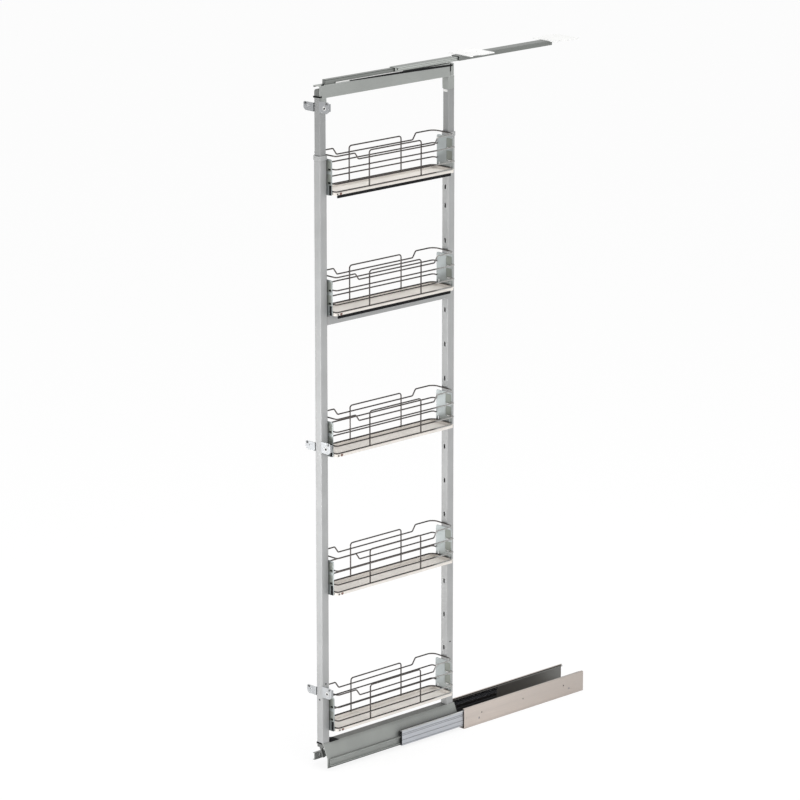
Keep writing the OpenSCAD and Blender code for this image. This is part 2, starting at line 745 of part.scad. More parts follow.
module basket_tray(level) color(tray_grey) frame_place() {
    y0 = rail_front - wire_r;
    y1 = rail_rear + wire_r;
    w = basket_w - 3;
    d = y1 - y0 - 3;
    translate([0, (y0 + y1) / 2, level]) difference() {
        union() {
            linear_extrude(tray_h) round_rect(w, d, 9);
            translate([0, 0, tray_h - tray_wall]) linear_extrude(tray_wall)
                round_rect(w + 3, d + 3, 10.5);
        }
        translate([0, 0, tray_wall]) linear_extrude(tray_h)
            round_rect(w - 2 * tray_wall, d - 2 * tray_wall, 9 - tray_wall);
    }
}

// The tab that goes through a slot and hangs behind the post's wall; it points to -Y
module hook() {
    reach = hang_gap + post_wall + 0.4 + plate_t;
    low = hook_rise - slot_h / 2 + hook_gap;
    block(-hook_w / 2, hook_w / 2, -reach, sink, low, low + hook_neck_h);
    block(-hook_w / 2, hook_w / 2, -reach, -reach + plate_t, low - hook_drop, low + hook_neck_h);
}

// Sheet seen from the basket's inside, with its back against the post at Y 0. Two windows
// beside the post let the hook be seen from the near side.
module end_plate(low, high) {
    difference() {
        translate([0, 0, (low + high) / 2]) rotate([90, 0, 0]) translate([0, 0, -plate_t])
            linear_extrude(plate_t) round_rect(plate_w, high - low, 6);
        for (x = [-1, 1]) translate([x * (plate_w / 2 - 9), 0, 13]) rotate([90, 0, 0])
            linear_extrude(4 * plate_t, center = true) rotate(90) stadium(16, 3.4);
        for (z = [window_low, high - window_top - window_h])
            translate([window_x, -cut, z]) cube([window_span, plate_t + 2 * cut, window_h]);
    }
    hook();
}

module basket_front_plate(level) color(plate_grey) frame_place()
    translate([0, front_face_y, level]) end_plate(-1.5, front_plate_h);
module basket_rear_plate(level) color(plate_grey) frame_place()
    translate([0, rear_face_y, level]) mirror([0, 1, 0]) end_plate(-1.5, rear_plate_h);

// ---- the named pieces ----

module lower_outer_rail_left() lower_outer_rail(-1);
module lower_outer_rail_right() lower_outer_rail(1);
module lower_middle_rail_left() lower_middle_rail(-1);
module lower_middle_rail_right() lower_middle_rail(1);
module lower_inner_rail_left() lower_inner_rail(-1);
module lower_inner_rail_right() lower_inner_rail(1);
module front_post() lower_post(0, 1);
module rear_post() lower_post(rear_post_y, -1);
module front_post_extension() post_extension(0, 1);
module rear_post_extension() post_extension(rear_post_y, -1);
module front_collar() collar(0, 1);
module rear_collar() collar(rear_post_y, -1);
module ceiling_plate_front() ceiling_plate(ceiling_front_y);
module ceiling_plate_rear() ceiling_plate(ceiling_rear_y);
module door_bracket_top_left()
    mirror([1, 0, 0]) door_bracket(upper_w / 2, door_top, door_h);
module door_bracket_top_right() door_bracket(upper_w / 2, door_top, near_h);
module door_bracket_middle_left()
    mirror([1, 0, 0]) door_bracket(post_w / 2, door_mid, door_h);
module door_bracket_middle_right() door_bracket(post_w / 2, door_mid, near_h);
module door_bracket_bottom_left()
    mirror([1, 0, 0]) door_bracket(post_w / 2, door_low, door_h);
module door_bracket_bottom_right() door_bracket(post_w / 2, door_low, near_h);
module basket_1_tray() basket_tray(basket_levels[0]);
module basket_1_wires() basket_wires(basket_levels[0]);
module basket_1_front_plate() basket_front_plate(basket_levels[0]);
module basket_1_rear_plate() basket_rear_plate(basket_levels[0]);
module basket_2_tray() basket_tray(basket_levels[1]);
module basket_2_wires() basket_wires(basket_levels[1]);
module basket_2_front_plate() basket_front_plate(basket_levels[1]);
module basket_2_rear_plate() basket_rear_plate(basket_levels[1]);
module basket_3_tray() basket_tray(basket_levels[2]);
module basket_3_wires() basket_wires(basket_levels[2]);
module basket_3_front_plate() basket_front_plate(basket_levels[2]);
module basket_3_rear_plate() basket_rear_plate(basket_levels[2]);
module basket_4_tray() basket_tray(basket_levels[3]);
module basket_4_wires() basket_wires(basket_levels[3]);
module basket_4_front_plate() basket_front_plate(basket_levels[3]);
module basket_4_rear_plate() basket_rear_plate(basket_levels[3]);
module basket_5_tray() basket_tray(basket_levels[4]);
module basket_5_wires() basket_wires(basket_levels[4]);
module basket_5_front_plate() basket_front_plate(basket_levels[4]);
module basket_5_rear_plate() basket_rear_plate(basket_levels[4]);

lower_housing();
housing_rivets();
lower_outer_rail_left();
lower_outer_rail_right();
lower_middle_rail_left();
lower_middle_rail_right();
lower_ball_rows();
carrier();
front_foot();
lower_inner_rail_left();
lower_inner_rail_right();
front_post();
rear_post();
front_post_extension();
rear_post_extension();
front_collar();
rear_collar();
collar_screws();
cross_brace();
brace_screws();
top_beam();
beam_front_stop();
beam_front_bracket();
beam_rear_bracket();
beam_end_plate();
upper_inner_rail();
upper_middle_rail();
upper_ball_rows();
upper_cabinet_rail();
ceiling_plate_front();
ceiling_plate_rear();
ceiling_plate_rivets();
door_bracket_top_left();
door_bracket_top_right();
door_bracket_middle_left();
door_bracket_middle_right();
door_bracket_bottom_left();
door_bracket_bottom_right();
door_bracket_screws();
door_bracket_top_screws();
basket_1_tray();
basket_1_wires();
basket_1_front_plate();
basket_1_rear_plate();
basket_2_tray();
basket_2_wires();
basket_2_front_plate();
basket_2_rear_plate();
basket_3_tray();
basket_3_wires();
basket_3_front_plate();
basket_3_rear_plate();
basket_4_tray();
basket_4_wires();
basket_4_front_plate();
basket_4_rear_plate();
basket_5_tray();
basket_5_wires();
basket_5_front_plate();
basket_5_rear_plate();
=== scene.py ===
"""Pull-out larder unit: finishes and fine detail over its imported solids.

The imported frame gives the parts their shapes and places. The operators here give each part
its finish, bend the baskets' wires anew, add the small pieces that the solids leave out, and
set the studio.
"""
import json
import math

import bmesh
import bpy
from bpy.props import FloatProperty, FloatVectorProperty, PointerProperty
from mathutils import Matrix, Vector


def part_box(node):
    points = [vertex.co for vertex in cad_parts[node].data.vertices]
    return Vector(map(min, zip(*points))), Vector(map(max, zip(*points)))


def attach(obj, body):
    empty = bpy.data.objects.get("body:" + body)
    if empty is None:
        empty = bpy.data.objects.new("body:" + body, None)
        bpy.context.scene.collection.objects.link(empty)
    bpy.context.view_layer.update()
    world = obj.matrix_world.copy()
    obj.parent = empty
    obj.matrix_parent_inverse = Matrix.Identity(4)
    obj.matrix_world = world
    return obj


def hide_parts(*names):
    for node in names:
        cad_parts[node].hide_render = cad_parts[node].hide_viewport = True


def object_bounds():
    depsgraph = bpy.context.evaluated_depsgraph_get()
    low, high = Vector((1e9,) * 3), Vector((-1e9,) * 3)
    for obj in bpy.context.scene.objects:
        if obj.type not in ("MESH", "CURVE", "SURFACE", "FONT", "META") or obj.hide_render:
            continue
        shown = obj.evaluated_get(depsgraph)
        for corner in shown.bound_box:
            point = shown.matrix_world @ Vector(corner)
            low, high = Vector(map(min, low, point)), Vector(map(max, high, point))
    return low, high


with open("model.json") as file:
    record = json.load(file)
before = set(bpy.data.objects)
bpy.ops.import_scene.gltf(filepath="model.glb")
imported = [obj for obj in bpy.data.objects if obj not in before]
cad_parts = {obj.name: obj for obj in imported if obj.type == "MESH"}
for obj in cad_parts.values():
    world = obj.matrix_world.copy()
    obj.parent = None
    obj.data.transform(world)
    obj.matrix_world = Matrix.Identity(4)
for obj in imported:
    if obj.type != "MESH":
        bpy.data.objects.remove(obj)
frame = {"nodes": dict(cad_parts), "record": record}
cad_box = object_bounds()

bl_info = {
    "name": "Pull-out larder unit",
    "version": (1, 0, 0),
    "blender": (4, 5, 0),
    "location": "3D View > Sidebar > Larder",
    "description": "Finishes and fine detail of a pull-out larder unit, with its studio",
    "category": "Object",
}

BASKETS = (1, 2, 3, 4, 5)
MM = 0.001
SLOT_OF = {part["node"]: part["material_slot"] for part in frame["record"]["subparts"]}
TO_FRONT = (0.0, -1.0, 0.0)
TO_NEAR_SIDE = (1.0, 0.0, 0.0)

# Sizes and depths of the finishes' patterns, in metres
DRAW_LINE, DRAW_CLOUD, DRAW_DEPTH = 0.0011, 0.045, 0.00003
CREASE_REACH, CREASE_DEPTH = 0.0012, 0.0006
PEEL, PEEL_DEPTH, FLAKE, COAT_CLOUD = 0.0012, 0.00004, 0.0006, 0.09
SPARK, SPARK_DEPTH, MOULD_CLOUD = 0.0007, 0.00005, 0.05
HAZE, HAZE_DEPTH = 0.004, 0.00002
EDGE_SAMPLES, HOLLOW_SAMPLES = 6, 8
BROKEN_EDGE = 0.0002

# Tones that finishes change to, and the white of the studio
# The outer rails' painted shade lightens to this tone at the rear.
OUTER_REAR_TONE = (0.22, 0.22, 0.21)
# The painted highlight on the wires' rear ends.
WIRE_HIGHLIGHT_TONE = (0.75, 0.75, 0.73)
FLOOR_TONE = (0.86, 0.86, 0.86)
WHITE = (1.0, 1.0, 1.0, 1.0)

# From here to the studio, all is in millimetres.
# Plugged holes: the post, its face, and the height above the post's lower end
POST_HOLES = (("front_post", "front", 128), ("front_post", "side", 175), ("rear_post", "side", 188))
# Outlines: the distance behind the beam's front end or the front post, and the height above
# the beam's or the carrier's top
BEAM_SEAL = ((112, -0.2), (400, -5.6), (500, -7.6), (500, -2.6), (400, 0.6), (112, 2.0))
BUMPER = ((0.4, -0.2), (35, -0.2), (33, 1.2), (9, 5.5), (0.4, 5.5))
# Heights above the lower edge of a middle member
MIDDLE_CREASES = (4, 17, 30.6, 35)
TOP_GROOVES = (2.4, 7.0, 11.4)
# A door hole's distance from the unit's middle plane and its height above the bracket's lower
# edge, and the rim round it: the radius, and the distance behind the bracket's face
DOOR_HOLE_X, DOOR_HOLE_Z = 33, 14
HOLE_RIM = ((6.2, 0.0), (5.8, -0.6), (3.6, -0.6), (3.0, 0.2))
# A front plate's sheet, and its dark strips of painted shade for slots: the lower end, the upper
# end and the inner edge
PLATE_SHEET = 1.5
PLATE_SLOT_SHADES = ((68.0, 72.5, 18.0), (30.5, 36.0, 18.0), (0.0, 27.0, 21.0))
# A rear plate's pockets above its lower edge
POCKET_FEET, POCKET_HEIGHT = (29.5, 64.5), 29
# How far before their rear end the near wires get a painted highlight
WIRE_HIGHLIGHT_REACH = 72

# The studio, in metres: the floor, then each lamp's name, place, size, power in watts and aim
FLOOR_REACH, FLOOR_GAP, FLOOR_GLOW, GLOW_SHARE = 30.0, 0.0005, 1.05, 0.82
UNIT_CENTRE = (0.0, -0.3, 0.95)
LAMPS = (
    ("front_lamp", (-0.9, -3.2, 0.3), (1.4, 0.7), 38.0, (0.0, -0.75, 0.2)),
    ("near_lamp", (4.2, -1.0, 1.6), (2.0, 2.0), 46.0, UNIT_CENTRE),
    ("top_lamp", (0.6, -0.6, 4.6), (2.4, 2.4), 60.0, UNIT_CENTRE),
)
SENSOR_WIDTH = 36.0  # mm
VIEW_REACH = 60.0


# ---- shader expressions ----


class Tone:
    """A number that changes over a surface. Arithmetic on it adds Math nodes."""

    def __init__(self, finish, socket):
        self.finish = finish
        self.socket = socket

    def math(self, operation, *values):
        node = self.finish.add("ShaderNodeMath", {"operation": operation}, dict(enumerate(values)))
        return Tone(self.finish, node.outputs[0])

    def __add__(self, other):
        return self.math("ADD", self, other)

    def __sub__(self, other):
        return self.math("SUBTRACT", self, other)

    def __rsub__(self, other):
        return self.math("SUBTRACT", other, self)

    def __mul__(self, other):
        return self.math("MULTIPLY", self, other)

    __radd__ = __add__
    __rmul__ = __mul__

    def band(self, centre, reach):
        """1 at centre, falling to 0 at reach on either side."""
        offset = self - centre
        return 1.0 - offset.math("ABSOLUTE", offset).between(0.0, reach)

    def between(self, low, high):
        """0 at low and 1 at high, held level outside them."""
        node = self.finish.add(
            "ShaderNodeMapRange",
            {"clamp": True},
            {"Value": self, "From Min": low, "From Max": high},
        )
        return Tone(self.finish, node.outputs["Result"])


class Shading:
    """Adds nodes to a tree and links them."""

    def __init__(self, tree):
        self.tree = tree

    def add(self, kind, settings=None, sockets=None):
        """Adds a node: its settings first, then the values or links of its sockets."""
        node = self.tree.nodes.new(kind)
        for setting, value in (settings or {}).items():
            setattr(node, setting, value)
        for key, value in (sockets or {}).items():
            self.join(node.inputs[key], value)
        return node

    def join(self, socket, value):
        if isinstance(value, Tone):
            value = value.socket
        if isinstance(value, bpy.types.NodeSocket):
            self.tree.links.new(value, socket)
        else:
            socket.default_value = value


class Finish(Shading):
    """One material, with the patterns that its finish is made of."""

    def __init__(self, name, colour, roughness, metallic=0.0, **uniform):
        self.material = bpy.data.materials.new(name)
        self.material.use_nodes = True
        super().__init__(self.material.node_tree)
        self.shader = self.tree.nodes["Principled BSDF"]
        self.normal = None
        self.set("Base Color", (*colour, 1.0))
        self.set("Roughness", roughness)
        self.set("Metallic", metallic)
        for socket, value in uniform.items():
            self.set(socket.replace("_", " ").title(), value)

    def set(self, socket, value):
        self.join(self.shader.inputs[socket], value)

    def place(self, stretch=(1.0, 1.0, 1.0)):
        """Object coordinates in metres, stretched."""
        coords = self.add("ShaderNodeTexCoord").outputs["Object"]
        return self.add("ShaderNodeMapping", {}, {"Vector": coords, "Scale": stretch}).outputs[0]

    def grain(self, size, stretch=(1.0, 1.0, 1.0), detail=3.0):
        """Noise whose patches are about size metres across."""
        node = self.add(
            "ShaderNodeTexNoise",
            {"noise_dimensions": "3D"},
            {"Vector": self.place(stretch), "Scale": 1.0 / size, "Detail": detail},
        )
        return Tone(self, node.outputs["Fac"])

    def cells(self, size, stretch=(1.0, 1.0, 1.0)):
        """Distance from the centres of cells about size metres across."""
        node = self.add(
            "ShaderNodeTexVoronoi",
            {"feature": "F1"},
            {"Vector": self.place(stretch), "Scale": 1.0 / size},
        )
        return Tone(self, node.outputs["Distance"])

    def axis(self, name):
        """The surface's place along X, Y or Z, in metres."""
        split = self.add("ShaderNodeSeparateXYZ", {}, {0: self.place()})
        return Tone(self, split.outputs[name])

    def facing(self, name):
        """The surface's own direction along X, Y or Z, from -1 to 1."""
        normal = self.add("ShaderNodeNewGeometry").outputs["True Normal"]
        split = self.add("ShaderNodeSeparateXYZ", {}, {0: normal})
        return Tone(self, split.outputs[name])

    def rolled(self, radius):
        """The surface's direction with its edges rolled to radius."""
        node = self.add("ShaderNodeBevel", {"samples": EDGE_SAMPLES}, {"Radius": radius})
        return node.outputs[0]

    def edge(self, radius):
        """1 on edges that are tighter than radius, 0 on flats."""
        soft = self.rolled(radius)
        hard = self.add("ShaderNodeNewGeometry").outputs["Normal"]
        dot = self.add("ShaderNodeVectorMath", {"operation": "DOT_PRODUCT"}, {0: soft, 1: hard})
        return 1.0 - Tone(self, dot.outputs["Value"]).between(0.86, 1.0)

    def hollow(self, reach):
        """1 in tight corners, 0 in the open."""
        settings = {"samples": HOLLOW_SAMPLES}
        node = self.add("ShaderNodeAmbientOcclusion", settings, {"Distance": reach})
        return 1.0 - Tone(self, node.outputs["AO"])

    def mix(self, amount, first, second):
        """A colour between two colours."""
        sides = [c if isinstance(c, bpy.types.NodeSocket) else (*c, 1.0) for c in (first, second)]
        node = self.add(
            "ShaderNodeMix",
            {"data_type": "RGBA"},
            {"Factor": amount, 6: sides[0], 7: sides[1]},
        )
        return node.outputs[2]

    def bump(self, height, depth):
        """Raises the surface by up to depth metres where height is 1."""
        sockets = {"Height": height, "Distance": depth, "Strength": 1.0}
        if self.normal is not None:
            sockets["Normal"] = self.normal
        self.normal = self.add("ShaderNodeBump", {}, sockets).outputs[0]
        self.set("Normal", self.normal)

    def round_edges(self, radius):
        """Lets light run over the cut edges as if they were rolled."""
        self.normal = self.rolled(radius)
        self.set("Normal", self.normal)


def tinted(colour, factor):
    return tuple(min(1.0, part * factor) for part in colour)


# ---- finishes ----


def brushed_sheet(name, colour, roughness, along, creases=(), metallic=1.0, fade=None, inner=1.0):
    """Sheet with fine draw lines along one axis, and rolled creases at given heights.

    fade is (front, rear, colour): the tone changes to that colour along Y. inner is the
    factor of painted shade on the faces that look towards the unit's middle plane.
    """
    finish = Finish(name, colour, roughness, metallic=metallic)
    lines = tuple(0.02 if axis == along else 1.0 for axis in "XYZ")
    draw = finish.grain(DRAW_LINE, stretch=lines, detail=2.0)
    cloud = finish.grain(DRAW_CLOUD, stretch=lines, detail=4.0)
    edge_highlight = finish.edge(0.0009)
    shade = (cloud * 0.7 + draw * 0.3).between(0.32, 0.68)
    base = finish.mix(shade, tinted(colour, 0.86), tinted(colour, 1.08))
    # Painted shade in the corners.
    base = finish.mix(finish.hollow(0.012) * 0.55, base, tinted(colour, 0.35))
    # Painted highlight along the edges, as light on rolled edges.
    base = finish.mix(edge_highlight * 0.5, base, tinted(colour, 1.25))
    if fade:
        front, rear, last = fade
        base = finish.mix(finish.axis("Y").between(front, rear), base, last)
    if inner < 1.0:
        inward_shade = (finish.facing("X") * finish.axis("X") * -1.0).between(0.002, 0.02)
        base = finish.mix(inward_shade, base, tinted(colour, inner))
    finish.round_edges(0.0006)
    for height in creases:
        # Each crease is darkened with painted shade; its bump rolls the surface.
        crease = finish.axis("Z").band(height, CREASE_REACH)
        base = finish.mix(crease * 0.8, base, tinted(colour, 0.15))
        finish.bump(1.0 - crease, CREASE_DEPTH)
    finish.set("Base Color", base)
    finish.set("Roughness", draw * 0.16 + cloud * 0.12 + (roughness - 0.14))
    finish.bump(draw, DRAW_DEPTH)
    return finish.material


def powder_coat(name, colour, roughness, dark=0.5, reach=0.015):
    """Sprayed coat: orange peel and fine flake, with painted shade in corners and slightly brighter
    edges as a painted highlight.

    dark is how strong the painted shade in the corners is, and reach is how far from a corner it
    spreads, in metres.
    """
    finish = Finish(name, colour, roughness, metallic=0.25, coat_roughness=0.35)
    peel = finish.cells(PEEL)
    flake = finish.grain(FLAKE, detail=1.0)
    cloud = finish.grain(COAT_CLOUD, detail=3.0)
    shade = (cloud * 0.6 + flake * 0.4).between(0.36, 0.64)
    base = finish.mix(shade, tinted(colour, 0.93), tinted(colour, 1.06))
    # Painted shade in the corners.
    base = finish.mix(finish.hollow(reach) * dark, base, tinted(colour, 0.3))
    # Painted highlight on the edges.
    base = finish.mix(finish.edge(0.002) * 0.8, base, tinted(colour, 1.5))
    finish.set("Base Color", base)
    finish.set("Roughness", flake * 0.14 + (roughness - 0.07))
    finish.set("Coat Weight", cloud * 0.25)
    finish.round_edges(0.0009)
    finish.bump(peel, PEEL_DEPTH)
    return finish.material


def moulded(name, colour, roughness, gloss=0.5):
    """Moulded plastic with a fine spark grain, painted shade in its corners and a painted highlight
    on its edges.
    """
    finish = Finish(name, colour, roughness)
    finish.set("Specular IOR Level", gloss)
    spark = finish.cells(SPARK)
    cloud = finish.grain(MOULD_CLOUD, detail=4.0)
    base = finish.mix(cloud.between(0.35, 0.65), tinted(colour, 0.94), tinted(colour, 1.03))
    # Painted shade in the corners.
    base = finish.mix(finish.hollow(0.014) * 0.6, base, tinted(colour, 0.45))
    # Painted highlight on the edges.
    base = finish.mix(finish.edge(0.001) * 0.35, base, tinted(colour, 1.15))
    finish.set("Base Color", base)
    finish.set("Roughness", spark * 0.15 + (roughness - 0.06))
    finish.round_edges(0.0008)
    finish.bump(spark, SPARK_DEPTH)
    return finish.material


def seal_rubber(name, tone):
    """Dull dark rubber of the seals, strips and studs; its dark tone also makes strips of painted
    shadow and painted shade.
    """
    return moulded(name, tone.dark, 0.7, gloss=0.1)


def plated(name, colour, roughness, dark_top=0.0, bright_end=None):
    """Plated wire or hardware: a mirror with slight haze, painted shade in its seats and a painted
    reflection that darkens its upper side.

    bright_end is the Y beyond which the wires on the near side get a painted highlight.
    """
    finish = Finish(name, colour, roughness, metallic=1.0)
    haze = finish.grain(HAZE, detail=4.0)
    base = finish.mix(haze.between(0.3, 0.7), tinted(colour, 0.9), tinted(colour, 1.05))
    if dark_top:
        # Painted reflection: the upper side darkens like a mirror facing dark surroundings.
        upward = finish.facing("Z").between(-0.55, 0.35)
        base = finish.mix(upward * dark_top, base, tinted(colour, 0.16))
    # Painted shade where the wires meet other parts.
    base = finish.mix(finish.hollow(0.006) * 0.7, base, tinted(colour, 0.25))
    if bright_end is not None:
        # Painted highlight on the near wires towards their rear end.
        rear = finish.axis("Y").between(bright_end - 0.012, bright_end + 0.004)
        near = finish.axis("X").between(0.020, 0.034)
        base = finish.mix(rear * near * 0.6, base, WIRE_HIGHLIGHT_TONE)
    finish.set("Base Color", base)
    finish.set("Roughness", haze * 0.12 + (roughness - 0.05))
    finish.bump(haze, HAZE_DEPTH)
    return finish.material


def dress(names, material):
    """Gives CAD nodes one finish."""
    for name in names:
        mesh = frame["nodes"][name].data
        mesh.materials.clear()
        mesh.materials.append(material)


def in_slot(slot):
    return [name for name, own in SLOT_OF.items() if own == slot and name in frame["nodes"]]


# ---- shapes of the added pieces ----


def placed(name, data, material, body):
    """Shows mesh or curve data as a piece that rides on a body."""
    data.materials.append(material)
    piece = bpy.data.objects.new(name, data)
    bpy.context.scene.collection.objects.link(piece)
    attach(piece, body)
    return piece


def solid(name, build, material, body, smooth=False):
    """A mesh piece, whose faces build(bmesh) makes in the row's frame."""
    shape = bmesh.new()
    build(shape)
    bmesh.ops.remove_doubles(shape, verts=shape.verts, dist=0.000001)
    bmesh.ops.recalc_face_normals(shape, faces=shape.faces)
    mesh = bpy.data.meshes.new(name)
    shape.to_mesh(mesh)
    shape.free()
    for face in mesh.polygons:
        face.use_smooth = smooth
    return placed(name, mesh, material, body)


def prism(shape, outline, axis, start, end):
    """Runs a closed outline along an axis; the outline lies in the other two axes, in order."""
    others = [i for i in range(3) if i != axis]

    def ring(place):
        corners = []
        for pair in outline:
            point = Vector((0.0, 0.0, 0.0))
            point[others[0]], point[others[1]] = pair
            point[axis] = place
            corners.append(shape.verts.new(point))
        return corners

    near, far = ring(start), ring(end)
    shape.faces.new(near)
    shape.faces.new(far)
    for i in range(len(near)):
        j = (i + 1) % len(near)
        shape.faces.new((near[i], near[j], far[j], far[i]))


def skin(shape, rings, capped=True):
    """Joins rings of corners into a tube, and closes its two ends if capped."""
    for first, second in zip(rings, rings[1:]):
        for i in range(len(first)):
            j = (i + 1) % len(first)
            shape.faces.new((first[i], first[j], second[j], second[i]))
    if capped:
        shape.faces.new(rings[0][::-1])
        shape.faces.new(rings[-1])


def strip(name, low, high, material, body):
    """A plain bar between two corners, with its long edges broken."""

    def build(shape):
        outline = rectangle((low[0], low[2]), (high[0], high[2]))
        prism(shape, outline, 1, low[1], high[1])
        bmesh.ops.bevel(shape, geom=shape.edges[:], offset=BROKEN_EDGE, segments=1, affect="EDGES")

    return solid(name, build, material, body)


def rectangle(low, high):
    return [low, (high[0], low[1]), high, (low[0], high[1])]


def circle(centre, radius, count=20):
    turn = 2 * math.pi / count
    return [
        (centre[0] + radius * math.cos(turn * i), centre[1] + radius * math.sin(turn * i))
        for i in range(count)
    ]


def domed(shape, centre, direction, radius, height, rings=4, count=20):
    """A low round head that rises from centre along direction."""
    fullness = 0.6
    up = Vector(direction)
    side = up.orthogonal().normalized()
    across = up.cross(side)
    levels = []
    for k in range(rings):
        lean = 0.5 * math.pi * k / rings
        reach = radius * math.cos(lean) ** fullness
        level = []
        for i in range(count):
            turn = 2 * math.pi * i / count
            spoke = side * math.cos(turn) + across * math.sin(turn)
            level.append(shape.verts.new(centre + spoke * reach + up * height * math.sin(lean)))
        levels.append(level)
    levels.append([shape.verts.new(centre + up * height)])
    for low, high in zip(levels, levels[1:]):
        for i in range(count):
            j = (i + 1) % count
            upper = (high[j], high[i]) if len(high) > 1 else (high[0],)
            shape.faces.new((low[i], low[j], *upper))
    shape.faces.new(levels[0])


def button(name, centre, direction, radius, height, material, body, smooth=True):
    """A low round head as a piece of its own; radius and height are in millimetres."""
    solid(
        name,
        lambda shape: domed(shape, centre, direction, radius * MM, height * MM),
        material,
        body,
        smooth=smooth,
    )


def bent(points, radii, closed):
    """A line through points with an arc of its own radius at each corner."""
    count = len(points)
    line = []
    for i, (corner, radius) in enumerate(zip(points, radii)):
        if not radius or (not closed and i in (0, count - 1)):
            line.append(corner)
            continue
        back = points[i - 1] - corner
        ahead = points[(i + 1) % count] - corner
        half = back.angle(ahead) / 2
        reach = min(radius / math.tan(half), back.length * 0.5, ahead.length * 0.5)
        radius = reach * math.tan(half)
        middle = (back.normalized() + ahead.normalized()).normalized()
        centre = corner + middle * (radius / math.sin(half))
        first = corner + back.normalized() * reach - centre
        last = corner + ahead.normalized() * reach - centre
        steps = 6
        for k in range(steps + 1):
            line.append(centre + first.slerp(last, k / steps).normalized() * first.length)
    return line


def wire(curve, points, radii, closed=True):
    """Adds a bent wire to a curve, as one smooth run."""
    line = bent(points, radii, closed)
    run = curve.splines.new("POLY")
    run.points.add(len(line) - 1)
    for point, place in zip(run.points, line):
        point.co = (*place, 1.0)
    run.use_cyclic_u = closed
    run.use_smooth = True


def wires(name, thickness):
    curve = bpy.data.curves.new(name, "CURVE")
    curve.dimensions = "3D"
    curve.bevel_depth = thickness / 2
    curve.bevel_resolution = 3
    curve.use_fill_caps = True
    return curve


# ---- settings ----


def colour_property(name, description, default):
    return FloatVectorProperty(
        name=name,
        description=description,
        subtype="COLOR",
        size=3,
        min=0.0,
        max=1.0,
        default=default,
    )


def length_property(name, description, millimetres):
    return FloatProperty(
        name=name,
        description=description,
        subtype="DISTANCE",
        unit="LENGTH",
        default=millimetres * MM,
    )


class LarderFinishes(bpy.types.PropertyGroup):
    post: colour_property("Posts", "Colour of the posts' silver-grey coat", (0.40, 0.405, 0.405))
    extension: colour_property("Upper tubes", "Colour of their coat", (0.31, 0.315, 0.315))
    carrier: colour_property("Carrier and beam", "Colour of the grey coat", (0.33, 0.345, 0.33))
    housing: colour_property("Floor housing", "Tone of the nickel sheet", (0.70, 0.63, 0.58))
    runner: colour_property("Middle members", "Tone of the zinc-plated members", (0.60, 0.62, 0.66))
    # Their near-black tone is painted shade inside the housing.
    outer: colour_property("Outer rails", "Tone of the rails in the housing", (0.045, 0.037, 0.031))
    top_runner: colour_property("Top runner", "Tone of its members", (0.33, 0.345, 0.33))
    bracket: colour_property("Door brackets", "Tone of the plated brackets", (0.42, 0.43, 0.44))
    plate: colour_property("End plates", "Tone of the baskets' end plates", (0.47, 0.505, 0.505))
    pocket: colour_property("Plate panels", "Tone of the end plates' panels", (0.30, 0.32, 0.29))
    tray: colour_property("Trays", "Colour of the moulded trays", (0.84, 0.80, 0.75))
    # Its dark tone is a painted reflection of dark surroundings.
    wire: colour_property("Wires", "Tone of the chrome wires", (0.25, 0.225, 0.215))
    buffer: colour_property("Buffers", "Colour of the trays' corner buffers", (0.20, 0.11, 0.09))
    fastener: colour_property("Fasteners", "Tone of screws, rivets and balls", (0.32, 0.32, 0.32))
    # This pale tone also makes the painted highlights on the beam, the middle member and the pocket
    # lips.
    edge: colour_property("Edge strips", "Colour of the pale strips and rims", (0.80, 0.80, 0.79))
    stop: colour_property("Stops", "Colour of the moulded stops", (0.14, 0.145, 0.14))
    # It also colours the beam's painted shadow strip and the end plates' painted slot shade.
    dark: colour_property("Dark trim", "Colour of the seals and strips", (0.012, 0.012, 0.013))
    ceiling: colour_property("Ceiling plates", "Colour of the white plates", (0.86, 0.86, 0.85))


class LarderBasket(bpy.types.PropertyGroup):
    wire: length_property("Wire", "Thickness of the basket wires", 4.0)
    lower_top: length_property("Top play", "From the plain wires' top to the top rail", 1.2)
    drop: length_property("Drop", "Drop of the top rail between its raised ends", 18.0)
    middle_rail: length_property("Middle rail", "Its height above the tray's underside", 72.0)
    low_rail: length_property("Low rail", "Its height above the tray's underside", 32.0)
    step_front: length_property("Front step", "From the front wire to the top of the step", 71.0)
    lean_front: length_property("Front lean", "Length of the front step along the rail", 13.0)
    step_rear: length_property("Rear step", "From the rear wire to the top of the step", 68.0)
    lean_rear: length_property("Rear lean", "Length of the rear step along the rail", 12.0)
    loop_front: length_property("Loop front", "From the front wire to the loop's front leg", 128.0)
    loop_rear: length_property("Loop rear", "From the rear wire to the loop's rear leg", 128.0)


class LarderStudio(bpy.types.PropertyGroup):
    azimuth: FloatProperty(
        name="Azimuth",
        description="Camera's bearing round the unit",
        subtype="ANGLE",
        unit="ROTATION",
        default=math.radians(46.364),
    )
    elevation: FloatProperty(
        name="Elevation",
        description="Camera's height above the horizon",
        subtype="ANGLE",
        unit="ROTATION",
        default=math.radians(15.08),
    )
    lens: FloatProperty(
        name="Lens", description="Camera's focal length in mm", min=1.0, default=181.56
    )
    stand: FloatVectorProperty(
        name="Stand",
        description="Camera's place from the foot of the front posts' face",
        subtype="XYZ",
        unit="LENGTH",
        size=3,
        default=(7.895335, -7.21742, 3.955359),
    )
    fill: FloatProperty(
        name="Fill light", description="Strength of the even studio light", min=0.0, default=0.72
    )


# ---- operators ----


